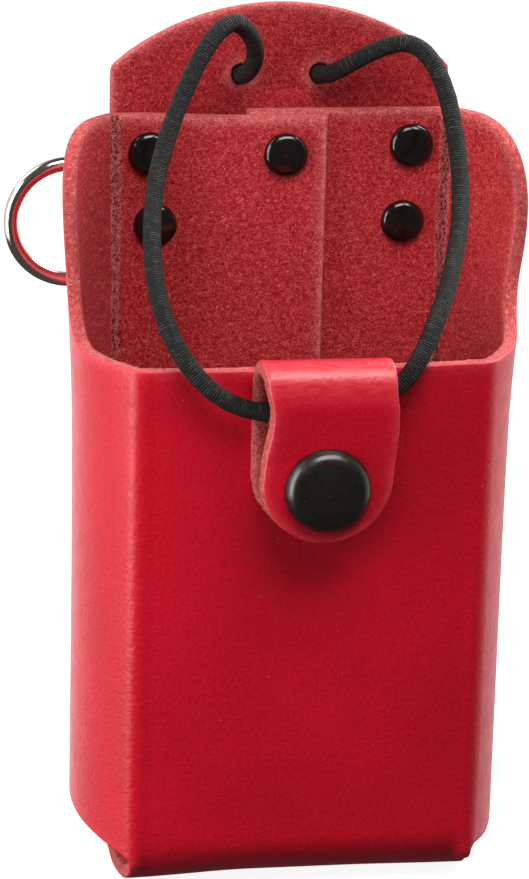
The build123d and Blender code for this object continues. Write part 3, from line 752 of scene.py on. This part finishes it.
def half_outline(side):
    """Flat outline of one half of the blank, from the middle of the front rim to the tongue's apex."""
    free_edge = RIGHT_FLAP_EDGE if side > 0 else LEFT_FLAP_EDGE
    flap_end = CREASE_S + FOLD_HALF - free_edge * side
    rim = flat_of(rim_curve(), side)
    lift, dip = RIM_UNEVEN[side > 0]
    rim[:, 1] += lift * smoothstep(FRONT_RIM, FLAP_TOP, rim[:, 1]) - dip * (
        1 - smoothstep(FRONT_RIM, FRONT_RIM + 12.0, rim[:, 1])
    )
    top = rim[-1, 1]
    hem = flat_of(hem_curve(side), side)
    flap_bottom = hem[0, 1]
    points = [[(0.0, FRONT_RIM - 0.15)], rim]
    points.append(rounded((CREASE_S * side, top), (flap_end * side, top), (flap_end * side, 60.0), 0.6))
    points.append(
        rounded((flap_end * side, 60.0), (flap_end * side, flap_bottom), (CREASE_S * side, flap_bottom), 0.8)
    )
    points.append(hem)
    corner_t = tongue_t(TONGUE_CORNER)
    radius = (STRIP_HALF**2 + (TONGUE_TOP - TONGUE_CORNER) ** 2) / (2 * (TONGUE_TOP - TONGUE_CORNER))
    arc_x = np.linspace(STRIP_HALF, 0.0, 60)
    arc_z = TONGUE_TOP - radius + np.sqrt(radius**2 - arc_x**2)
    arc = np.column_stack([arc_x * side, tongue_t(arc_z)])
    notch = np.array([[side * (STRIP_HALF + 0.55), NOTCH_T + 0.35], [side * STRIP_HALF, NOTCH_T - 0.2]])
    points.append(notch)
    strip_edge_t = np.linspace(NOTCH_T - 0.8, corner_t + 4.0, 60)
    points.append(np.column_stack([np.full(60, side * STRIP_HALF), strip_edge_t]))
    points.append(rounded((side * STRIP_HALF, corner_t + 6.0), (side * STRIP_HALF, corner_t), arc[12], 2.6, 10))
    points.append(arc[np.abs(arc[:, 0]) < STRIP_HALF - 3.0])
    return np.vstack([np.asarray(p, float) for p in points])


def blank_grid():
    """Flat points that fill the blank, closer together at folds and creases."""
    spans = (
        (0.0, 26.0, 1.6),
        (26.0, 32.0, 0.6),
        (32.0, CREASE_S - 2.6, 1.5),
        (CREASE_S + 2.6, CREASE_S + 41.0, 1.6),
    )
    columns = [np.arange(a, b, step) for a, b, step in spans]
    columns = np.unique(np.round(np.concatenate([-np.concatenate(columns)] + columns), 4))
    rows = np.concatenate([np.arange(NOTCH_Z - 1.0, 22.0, 0.9), np.arange(22.0, 136.0, 1.4)])
    crease = np.arange(CREASE_S - 2.5, CREASE_S + 2.55, 0.3)
    parts = []
    for across, down in (
        (columns, rows),
        (np.concatenate([-crease, crease]), np.arange(10.0, 136.0, 0.42)),
        (columns[np.abs(columns) < STRIP_HALF], np.arange(tongue_t(TONGUE_TOP), NOTCH_Z - 1.0, 1.4)),
    ):
        s, t = np.meshgrid(across, down)
        parts.append(np.column_stack([s.ravel(), t.ravel()]))
    return np.vstack(parts)


def build_case():
    right, left = half_outline(1.0), half_outline(-1.0)
    loop = np.vstack([right, left[::-1][1:-1]])[::-1]
    area = 0.5 * np.sum(loop[:, 0] * np.roll(loop[:, 1], -1) - np.roll(loop[:, 0], -1) * loop[:, 1])
    if area < 0:
        loop = loop[::-1]
    holes = [circle_loop((x, tongue_t(CORD_HOLE_Z)), CORD_HOLE_R) for x in (-CORD_HOLE_X, CORD_HOLE_X)]
    holes.append(circle_loop(SNAP, RIVET_R, 20))
    for x, z in RIVETS:
        holes.append(circle_loop((x, tongue_t(z)), RIVET_R, 20))
        if x > RIGHT_FLAP_EDGE + 3:
            holes.append(circle_loop((CREASE_S + FOLD_HALF - x, z), RIVET_R, 20))
        if x < LEFT_FLAP_EDGE - 3:
            holes.append(circle_loop((-(CREASE_S + FOLD_HALF + x), z), RIVET_R, 20))
    return leather_sheet("case_leather_body", loop, holes, blank_grid(), case_fold, seed=1)


# ---- folded straps


def path_map(line, across):
    """Surface map for a strap: t runs along a smooth line of points, s across it along a unit vector."""
    line = np.asarray(line, float)
    run = run_along(line)
    across = np.asarray(across, float)

    def surface(flat):
        at = np.column_stack([np.interp(flat[:, 1], run, line[:, k]) for k in range(3)])
        return at + flat[:, :1] * across

    return surface, float(run[-1])


def smooth_line(points, step=0.25, passes=12):
    """Polyline resampled and softened, with its ends kept."""
    points = np.asarray(points, float)
    run = run_along(points)
    at = np.arange(0.0, run[-1] + step, step)
    line = np.column_stack([np.interp(at, run, points[:, k]) for k in range(points.shape[1])])
    for _ in range(passes):
        line[1:-1] = (line[:-2] + 2 * line[1:-1] + line[2:]) / 4
    return line


def fold_over(surface):
    def fold(flat, depth):
        return surface(flat) - normals_of(surface, flat, 0.2) * depth[:, None]

    return fold


def strap_grid(half, length, step):
    s, t = np.meshgrid(np.arange(-half, half + step, step), np.arange(0.0, length, step))
    return np.column_stack([s.ravel(), t.ravel()])


# How the worn keeper strap leans and swells, by height: (z, shift to the right, shift forwards).
KEEPER_FRONT = ((60, -0.3, 0), (79, -0.3, 0), (84, 0.1, -0.1), (90, 0.9, 0.5), (94, 0.9, 0.9), (97, 0.2, 0.6))
KEEPER_BACK = ((60, -0.9, 0), (97, -1.0, 0))
KEEPER_ARCH_LIFT = 0.5
KEEPER_WAIST = 0.45  # how much each side draws in above the snap


def build_keeper():
    """The keeper strap: front leaf, fold over the rim and back leaf in one piece of leather."""
    back_lo, back_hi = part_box("keeper_back_leaf")
    front_lo, front_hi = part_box("keeper_front_leaf")
    x = (back_lo.x + back_hi.x) / 2 / MM
    half = (back_hi.x - back_lo.x) / 2 / MM
    low, axis_z = back_lo.z / MM, back_hi.z / MM
    front_y, back_y = front_lo.y / MM, back_hi.y / MM
    axis_y, radius = (front_y + back_y) / 2, (back_y - front_y) / 2
    heights = np.linspace(low - 1, axis_z, 80)
    zf, lean, swell = np.array(KEEPER_FRONT, float).T
    front_x, front_y_at = x + np.interp(heights, zf, lean), front_y - np.interp(heights, zf, swell)
    front = np.column_stack([front_x, front_y_at, heights])
    zb, lean_back, _ = np.array(KEEPER_BACK, float).T
    back = np.column_stack([x + np.interp(heights, zb, lean_back), np.full(80, back_y), heights])[::-1]
    turn = np.linspace(math.pi, 0.0, 60)[1:-1]
    share = (1 + np.cos(turn)) / 2
    ends = front[-1] * (1 - share)[:, None] + back[0] * share[:, None]
    arch = np.column_stack([ends[:, :2], axis_z + (radius + KEEPER_ARCH_LIFT) * np.sin(turn)])
    line = smooth_line(np.vstack([front, arch, back]), 0.2, 40)
    surface, length = path_map(line, (1, 0, 0))
    snap_t = SNAP[1] - (low - 1)
    quarter = np.linspace(math.pi, 1.5 * math.pi, 30), np.linspace(1.5 * math.pi, 2 * math.pi, 30)
    outline = np.concatenate(quarter)
    lower = np.column_stack([half * np.cos(outline), 1.0 + half + half * np.sin(outline)])
    upper = np.column_stack([-half * np.cos(outline), length - 1.0 - half - half * np.sin(outline)])
    edge_t = np.linspace(1.5 + half, length - 1.5 - half, 120)
    waist = half - KEEPER_WAIST * np.exp(-(((edge_t - snap_t - 14.0) / 6.0) ** 2))
    right_edge, left_edge = np.column_stack([waist, edge_t]), np.column_stack([-waist, edge_t])[::-1]
    loop = np.vstack([lower, right_edge, upper, left_edge])
    hole_s = SNAP[0] - x - float(np.interp(SNAP[1], zf, lean))
    back_s = SNAP[0] - x - float(np.interp(SNAP[1], zb, lean_back))
    holes = [
        circle_loop((hole_s, snap_t), SNAP_HOLE_R, 20),
        circle_loop((back_s, length - snap_t), RIVET_R, 20),
    ]
    return leather_sheet(
        "keeper_strap",
        loop,
        holes,
        strap_grid(half, length, 0.6),
        fold_over(surface),
        seed=5,
        fuzz=0.16,
        step=0.35,
        lean=0.55,
        grain=STRAP_GRAIN,
    )


def read_vectors(values, key, count):
    """The three components of a mesh's vectors, as arrays."""
    flat = np.empty(count * 3, np.float32)
    values.foreach_get(key, flat)
    return flat[0::3], flat[1::3], flat[2::3]


def spread_bend(obj):
    """Reads the keeper's flat distances along the strap; the keeper is left as built."""
    _, along, _ = read_vectors(obj.data.attributes["flat"].data, "vector", len(obj.data.vertices))


TAB_SLOPE_X = 27.0  # where a tab's outer layer starts to rise towards the ring's bar


def build_tab(side):
    """A ring tab: one strip folded round the ring's bar, its two layers riveted to the rear panel."""
    name = "ring_tab_left" if side < 0 else "ring_tab_right"
    lo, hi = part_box(name)
    lo, hi = lo / MM, hi / MM
    z = (lo.z + hi.z) / 2
    half = (hi.z - lo.z) / 2
    root = lo.x if side > 0 else -hi.x
    tip = hi.x if side > 0 else -lo.x
    loop_r = (hi.y - lo.y) / 2
    bar_x, bar_y = tip - loop_r, (lo.y + hi.y) / 2
    out_y = lo.y + 2 * LEATHER
    turn = np.linspace(math.pi / 2, -math.pi / 2, 60)
    arch = np.column_stack([bar_x + loop_r * np.cos(turn), bar_y + loop_r * np.sin(turn)])
    line = np.vstack([[(root, out_y)], [(TAB_SLOPE_X, out_y)], arch, [(root, lo.y)]])
    line = smooth_line(line, 0.2, 10)
    line = np.column_stack([side * line[:, 0], line[:, 1], np.full(len(line), z)])
    surface, length = path_map(line, (0, 0, side))
    ring = []
    corners = ((-half, 0.0), (half, 0.0), (half, length), (-half, length))
    for k in range(4):
        ring.append(rounded(corners[k - 1], corners[k], corners[(k + 1) % 4], 1.6, 8))
    loop = np.vstack(ring)
    rivet = LOWER_RIVET_X - root
    holes = [circle_loop((0.0, rivet), RIVET_R, 20), circle_loop((0.0, length - rivet), RIVET_R, 20)]
    tab = leather_sheet(
        "tab_" + ("left" if side < 0 else "right"),
        loop,
        holes,
        strap_grid(half, length, 0.7),
        fold_over(surface),
        seed=8 + side,
        fuzz=0.08,
        step=0.5,
    )
    return tab, name


# ---- cord

# The cord's middle line in front of the tongue, from the left hole, through the keeper, to the right.
LOOP_POINTS = (
    (-CORD_HOLE_X, BACK_Y, CORD_HOLE_Z),
    (-CORD_HOLE_X, BACK_Y - LEATHER, CORD_HOLE_Z),
    (-6, 14.5, 145.5),
    (-9.5, 11, 151.4),
    (-21, 3, 139),
    (-27.3, -11, 120),
    (-25.5, -23.5, 105),
    (-18, -28.5, 95.5),
    (-11, -28.7, 92.4),
    (-4, -28.7, 92.2),
    (5, -28.7, 93.4),
    (13, -28.7, 96),
    (19, -25, 103),
    (26.5, -11, 117),
    (28.4, 2, 132),
    (20.5, 13, 147.4),
    (CORD_HOLE_X, BACK_Y - LEATHER, CORD_HOLE_Z),
    (CORD_HOLE_X, BACK_Y, CORD_HOLE_Z),
)


def spline(points, step=0.3):
    """Natural cubic spline through points, by chord length, sampled about every step."""
    p = np.asarray(points, float)
    u = run_along(p)
    h = np.diff(u)
    n = len(p)
    a = np.eye(n)
    b = np.zeros((n, 3))
    for i in range(1, n - 1):
        a[i, i - 1 : i + 2] = h[i - 1], 2 * (h[i - 1] + h[i]), h[i]
        b[i] = 6 * ((p[i + 1] - p[i]) / h[i] - (p[i] - p[i - 1]) / h[i - 1])
    m = np.linalg.solve(a, b)
    at = np.linspace(0.0, u[-1], int(u[-1] / step))
    k = np.clip(np.searchsorted(u, at, "right") - 1, 0, n - 2)
    x0, x1 = (u[k + 1] - at)[:, None], (at - u[k])[:, None]
    hk = h[k][:, None]
    return (
        m[k] * x0**3 / (6 * hk)
        + m[k + 1] * x1**3 / (6 * hk)
        + (p[k] / hk - m[k] * hk / 6) * x0
        + (p[k + 1] / hk - m[k + 1] * hk / 6) * x1
    )


def knot_points(x, z, y, side):
    """A small overhand knot behind the tongue: from the hole round to the cord's cut end."""
    turn = np.linspace(0.35, 2 * math.pi - 0.9, 16)
    size = 1.25
    kx = size * (np.sin(turn) + 2 * np.sin(2 * turn))
    kz = size * (np.cos(turn) - 2 * np.cos(2 * turn))
    ky = -1.25 * np.sin(3 * turn)
    knot = np.column_stack([x + side * kx, y + 3.6 + ky, z + kz])
    tail = knot[-1] + (knot[-1] - knot[-2]) * 1.2 + np.array([side * 1.0, 0.6, -2.4])
    return np.vstack([knot, [tail]])


def tube(name, line, radius, material, sides=20):
    """Closed round tube along a line, with its length and turn kept for the braid."""
    line = np.asarray(line)
    count = len(line)
    tangent = np.gradient(line, axis=0)
    tangent /= np.linalg.norm(tangent, axis=1)[:, None]
    side = np.cross(tangent[0], (0.0, 0.0, 1.0))
    frames = []
    for t in tangent:
        side = side - t * (side @ t)
        side = side / np.linalg.norm(side)
        frames.append((side, np.cross(t, side)))
    run = run_along(line)
    angle = np.linspace(0.0, 2 * math.pi, sides, endpoint=False)
    verts, flat = [], []
    for i in range(count):
        a, b = frames[i]
        r = radius[i] * (1 + 0.012 * math.sin(run[i] * 1.9) + 0.010 * math.sin(run[i] * 0.7 + 1))
        ring = line[i] + r * (np.outer(np.cos(angle), a) + np.outer(np.sin(angle), b))
        verts.append(ring)
        flat.append(np.column_stack([np.full(sides, run[i]), np.abs(angle / math.pi - 1), np.zeros(sides)]))
    verts, flat = np.vstack(verts), np.vstack(flat)
    faces = []
    for i in range(count - 1):
        for j in range(sides):
            k = (j + 1) % sides
            faces.append((i * sides + j, i * sides + k, (i + 1) * sides + k, (i + 1) * sides + j))
    faces.append(tuple(range(sides))[::-1])
    faces.append(tuple((count - 1) * sides + j for j in range(sides)))
    return make_object(name, verts, faces, [material], None, {"flat": flat})


def build_cord():
    left = knot_points(-CORD_HOLE_X, CORD_HOLE_Z, BACK_Y, -1)
    right = knot_points(CORD_HOLE_X, CORD_HOLE_Z, BACK_Y, 1)
    line = spline(np.vstack([left[::-1], LOOP_POINTS, right]), 0.3)
    knotted = line[:, 1] > BACK_Y + 0.6
    radius = np.where(knotted, CORD_KNOT_R, CORD_R)
    radius = averaged(radius, 4)
    radius[:3] *= np.array([0.6, 0.85, 0.97])
    radius[-3:] *= np.array([0.97, 0.85, 0.6])
    return tube("retaining_cord", line, radius, CORD)


def spread_cord(obj):
    """Reads the cord's run along it and its points; the cord is left as built."""
    count = len(obj.data.vertices)
    run, _, _ = read_vectors(obj.data.attributes["flat"].data, "vector", count)
    _, depth, _ = read_vectors(obj.data.vertices, "co", count)


# ---- put it together

case = build_case()
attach(case, "case")
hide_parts("case_body")

keeper = build_keeper()
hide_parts("keeper_back_leaf", "keeper_fold", "keeper_front_leaf")
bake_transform(keeper)
spread_bend(keeper)

for tab_side in (-1, 1):
    tab, node_name = build_tab(tab_side)
    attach(tab, "case")
    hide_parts(node_name)

cord = build_cord()
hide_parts("elastic_cord", "cord_knot_left", "cord_knot_right")
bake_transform(cord)  # bakes the cord's placement into its mesh
spread_cord(cord)


def dress(obj, material):
    """Gives a CAD node its Blender material and smooth shading."""
    obj.data.materials.clear()
    obj.data.materials.append(material)
    obj.data.polygons.foreach_set("use_smooth", [True] * len(obj.data.polygons))


for name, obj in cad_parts.items():
    if name.startswith("rivet_"):
        dress(obj, RIVET_BLACK)
    elif name == "snap_cap":
        dress(obj, SNAP_BLACK)
    elif name in ("snap_socket", "snap_stud", "snap_post"):
        dress(obj, NICKEL)
    elif name == "snap_socket_spring":
        dress(obj, SPRING)
    elif name.startswith("ring_") and not name.startswith("ring_tab"):
        dress(obj, NICKEL_RING)


# ---- floor, light and camera

WORLD_DIM = 0.08  # strengths of the room and of its two bright patches behind the case
WORLD_BACK_LEFT = 0.85
WORLD_BACK_RIGHT = 0.95
TABLE_EDGE = (-0.52, -0.38)  # directions' heights between which the table hides the bright patches


def stage_material():
    """Pale floor: near white, with soft shadows."""
    mat, t = new_material("pale_floor")
    lit = node(t, "ShaderNodeBsdfDiffuse", {"Color": (0.28, 0.28, 0.28, 1.0)})
    glow = node(t, "ShaderNodeEmission", {"Color": (1.0, 1.0, 1.0, 1.0), "Strength": 0.90})
    seen = node(t, "ShaderNodeAddShader", {0: lit.outputs[0], 1: glow.outputs[0]})
    out = node(t, "ShaderNodeOutputMaterial")
    t.links.new(seen.outputs[0], out.inputs[0])
    return mat


def build_stage():
    """A pale floor that sweeps up into a backdrop."""
    profile = [(-3000.0, 0.0), (1500.0, 0.0)]
    for turn in np.linspace(0.1, math.pi / 2, 12):
        profile.append((1500.0 + 900.0 * math.sin(turn), 900.0 * (1 - math.cos(turn))))
    profile.append((2400.0, 3500.0))
    verts = [(x, y, z) for x in (-4000.0, 4000.0) for y, z in profile]
    n = len(profile)
    faces = [(i, i + n, i + n + 1, i + 1) for i in range(n - 1)]
    floor = make_object("pale_floor", verts, faces, [stage_material()])
    floor.visible_diffuse = False
    floor.visible_glossy = False


def area_light(name, place, target, size, power):
    data = bpy.data.lights.new(name, "AREA")
    data.shape = "RECTANGLE"
    data.size, data.size_y = size[0] * MM, size[1] * MM
    data.energy = power
    obj = bpy.data.objects.new(name, data)
    bpy.context.scene.collection.objects.link(obj)
    obj.location = Vector(place) * MM
    obj.rotation_mode = "QUATERNION"
    obj.rotation_quaternion = (Vector(target) - Vector(place)).to_track_quat("-Z", "Y")


def build_world():
    """White to the camera; as light, a dim room with a bright backdrop behind the case."""
    world = bpy.data.worlds.new("studio")
    world.use_nodes = True
    t = world.node_tree
    t.nodes.clear()
    path = node(t, "ShaderNodeLightPath")
    coords = node(t, "ShaderNodeTexCoord").outputs["Generated"]
    height = node(t, "ShaderNodeSeparateXYZ", {0: coords}).outputs["Z"]
    above_table = remap(t, height, *TABLE_EDGE)
    total = node(t, "ShaderNodeValue", name="room_light")
    total.outputs[0].default_value = WORLD_DIM
    total = total.outputs[0]
    for name, towards, strength in (
        ("back_left_light", (-0.75, 0.60, -0.28), WORLD_BACK_LEFT),
        ("back_right_light", (0.62, 0.76, -0.20), WORLD_BACK_RIGHT),
    ):
        lobe = node(t, "ShaderNodeVectorMath", {0: coords, 1: towards}, operation="DOT_PRODUCT")
        level = node(t, "ShaderNodeValue", name=name)
        level.outputs[0].default_value = strength
        lit = math_node(t, "MULTIPLY", remap(t, lobe.outputs["Value"], 0.15, 0.75), above_table)
        total = math_node(t, "MULTIPLY_ADD", lit, level.outputs[0], total)
    seen = node(t, "ShaderNodeBackground", {"Color": (1, 1, 1, 1), "Strength": 1.0})
    fill = node(t, "ShaderNodeBackground", {"Color": (1, 1, 1, 1), "Strength": total})
    to_camera = path.outputs["Is Camera Ray"]
    mix = node(t, "ShaderNodeMixShader", {0: to_camera, 1: fill.outputs[0], 2: seen.outputs[0]})
    out = node(t, "ShaderNodeOutputWorld")
    t.links.new(mix.outputs[0], out.inputs[0])
    bpy.context.scene.world = world


SENSOR_WIDTH = 36.0
CAMERA_ZOOM = 3778.0 / 879.0  # focal length over the frame's longer side
CAMERA_PLACE = (-109.23, -637.45, 284.07)
CAMERA_AHEAD = (0.15386, 0.94020, -0.30389)
CAMERA_RIGHT = (0.98782, -0.15365, 0.02476)


def build_camera():
    data = bpy.data.cameras.new("camera")
    data.sensor_fit = "AUTO"
    data.sensor_width = SENSOR_WIDTH
    data.lens = SENSOR_WIDTH * CAMERA_ZOOM
    data.clip_start, data.clip_end = 0.01, 50.0
    cam = bpy.data.objects.new("camera", data)
    bpy.context.scene.collection.objects.link(cam)
    ahead = Vector(CAMERA_AHEAD).normalized()
    right = Vector(CAMERA_RIGHT)
    right = (right - ahead * right.dot(ahead)).normalized()
    up = right.cross(ahead)
    turn = Matrix((right, up, -ahead)).transposed().to_4x4()
    cam.matrix_world = Matrix.Translation(Vector(CAMERA_PLACE) * MM) @ turn
    bpy.context.scene.camera = cam


build_stage()
build_world()
build_camera()
area_light("left_panel", (-400, -150, 110), (0, -10, 80), (220, 420), 1.9)
area_light("overhead", (60, -330, 620), (0, -20, 100), (520, 300), 4.4)
area_light("top_right", (330, 200, 480), (-20, 0, 110), (300, 300), 3.4)
area_light("top_left", (-380, 120, 420), (20, 0, 110), (300, 300), 0.5)
bpy.context.scene.view_settings.view_transform = "Standard"
